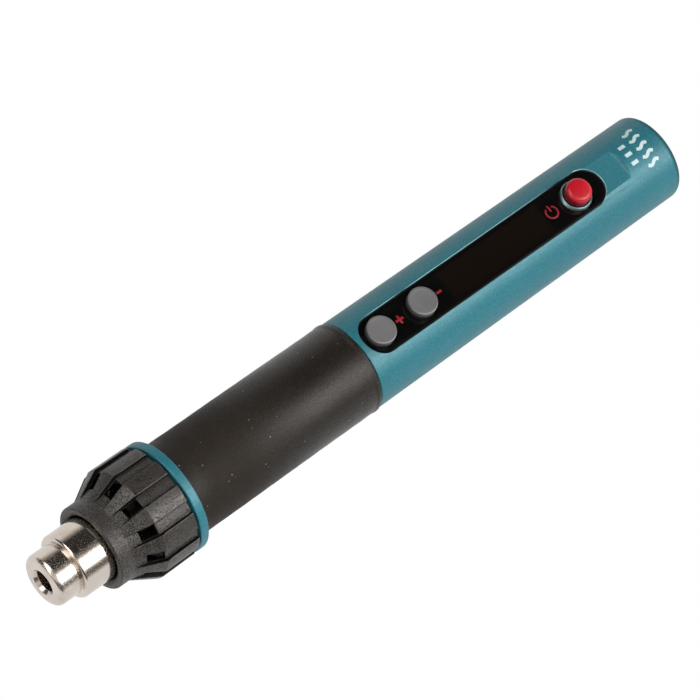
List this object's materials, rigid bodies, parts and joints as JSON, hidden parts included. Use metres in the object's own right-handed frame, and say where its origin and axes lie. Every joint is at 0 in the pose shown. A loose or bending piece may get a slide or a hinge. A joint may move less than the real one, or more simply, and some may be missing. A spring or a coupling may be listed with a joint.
{
  "type": "handheld hot air tool",
  "caption": "Pen-type hot-air tool: steel nozzle, fluted vent cap, rubber grip and a teal body with a black button and display panel.",
  "frame": {"origin": "centre of the bounding box, on the tool axis", "axes": "+X along the tool axis from the nozzle to the rear end, +Z out through the button panel"},
  "size_m": [0.2576, 0.039, 0.039],
  "materials": {
    "nickel_steel": "polished nickel plate",
    "spring_steel": "bright",
    "cap_plastic": "fine moulded texture",
    "teal_paint": "satin, fine grain",
    "ring_teal": "satin",
    "rubber_grip": "matte",
    "steel": "satin",
    "mica": "satin",
    "ceramic": "matte",
    "nichrome": "dull",
    "brass": "satin",
    "silicone": "matte",
    "black_plastic": "matte",
    "panel_acrylic": "gloss",
    "button_grey": "matte",
    "button_red": "gloss",
    "chrome": "polished",
    "circuit_board": "satin",
    "component_black": "satin",
    "film_yellow": "gloss",
    "ferrite": "matte",
    "wire_red": "satin",
    "wire_blue": "satin",
    "wire_green": "satin",
    "wire_white": "satin"
  },
  "bodies": {
    "handle": {"collar_ring": "ring_teal", "heater_tube": "steel", "heater_screw_1": "spring_steel", "heater_screw_2": "spring_steel", "heater_screw_3": "spring_steel", "mica_sleeve": "mica", "ceramic_former": "ceramic", "heating_coil": "nichrome", "thermocouple": "steel", "body_tube": "teal_paint", "grip_sleeve": "rubber_grip", "air_duct": "silicone", "fan_housing": "black_plastic", "fan_motor": "steel", "display_window": "panel_acrylic", "power_bezel": "chrome", "plus_switch": "component_black", "minus_switch": "component_black", "power_switch": "component_black", "display_module": "black_plastic", "control_board": "circuit_board", "chassis": "black_plastic", "chassis_screw_left": "spring_steel", "chassis_screw_right": "spring_steel", "board_screw_1": "spring_steel", "board_screw_2": "spring_steel", "controller_chip": "component_black", "power_triac": "component_black", "film_capacitor": "film_yellow", "supply_transformer": "ferrite", "mains_fuse": "ceramic", "tilt_sensor": "steel", "rear_plug": "black_plastic", "power_inlet": "chrome", "inlet_pin_line": "brass", "inlet_pin_neutral": "brass", "inlet_pin_earth": "brass", "inlet_nut": "brass", "heater_lead_a": "wire_white", "heater_lead_b": "wire_white", "sensor_lead": "wire_red", "motor_lead": "wire_red", "line_lead": "wire_red", "neutral_lead": "wire_blue", "earth_lead": "wire_green"},
    "nozzle_clip": {"nozzle_clip": "spring_steel"},
    "nozzle": {"nozzle": "nickel_steel"},
    "cap_washer": {"cap_washer": "spring_steel"},
    "vent_cap": {"vent_cap": "cap_plastic"},
    "plus_button": {"plus_button": "button_grey", "plus_plunger": "black_plastic"},
    "minus_button": {"minus_button": "button_grey", "minus_plunger": "black_plastic"},
    "power_button": {"power_button": "button_red", "power_plunger": "ceramic"},
    "fan_rotor": {"fan_rotor": "black_plastic", "fan_shaft": "spring_steel"}
  },
  "joints": [
    {"name": "nozzle_pull", "type": "slide", "parent": "handle", "child": "nozzle_clip", "axis": [-1, 0, 0], "range_m": [0, 0.025]},
    {"name": "nozzle_spin", "type": "hinge", "parent": "nozzle_clip", "child": "nozzle", "pos_m": [-0.1096, 0, 0], "axis": [1, 0, 0], "continuous": true},
    {"name": "cap_advance", "type": "slide", "parent": "handle", "child": "cap_washer", "axis": [-1, 0, 0], "range_m": [0, 0.0031]},
    {"name": "cap_turn", "type": "hinge", "parent": "cap_washer", "child": "vent_cap", "pos_m": [-0.0896, 0, 0], "axis": [-1, 0, 0], "range_deg": [0, 720]},
    {"name": "plus_press", "type": "slide", "parent": "handle", "child": "plus_button", "axis": [0, 0, -1], "range_m": [0, 0.0005], "stiffness_N_per_m": 3000, "springref_m": -0.0001},
    {"name": "minus_press", "type": "slide", "parent": "handle", "child": "minus_button", "axis": [0, 0, -1], "range_m": [0, 0.0005], "stiffness_N_per_m": 3000, "springref_m": -0.0001},
    {"name": "power_press", "type": "slide", "parent": "handle", "child": "power_button", "axis": [0, 0, -1], "range_m": [0, 0.002], "stiffness_N_per_m": 800, "springref_m": -0.0003},
    {"name": "fan_spin", "type": "hinge", "parent": "handle", "child": "fan_rotor", "pos_m": [-0.0391, 0, 0], "axis": [1, 0, 0], "continuous": true}
  ],
  "couplings": [
    {"joint": "cap_advance", "follows": "cap_turn", "m_per_rad": 0.00023873}
  ]
}
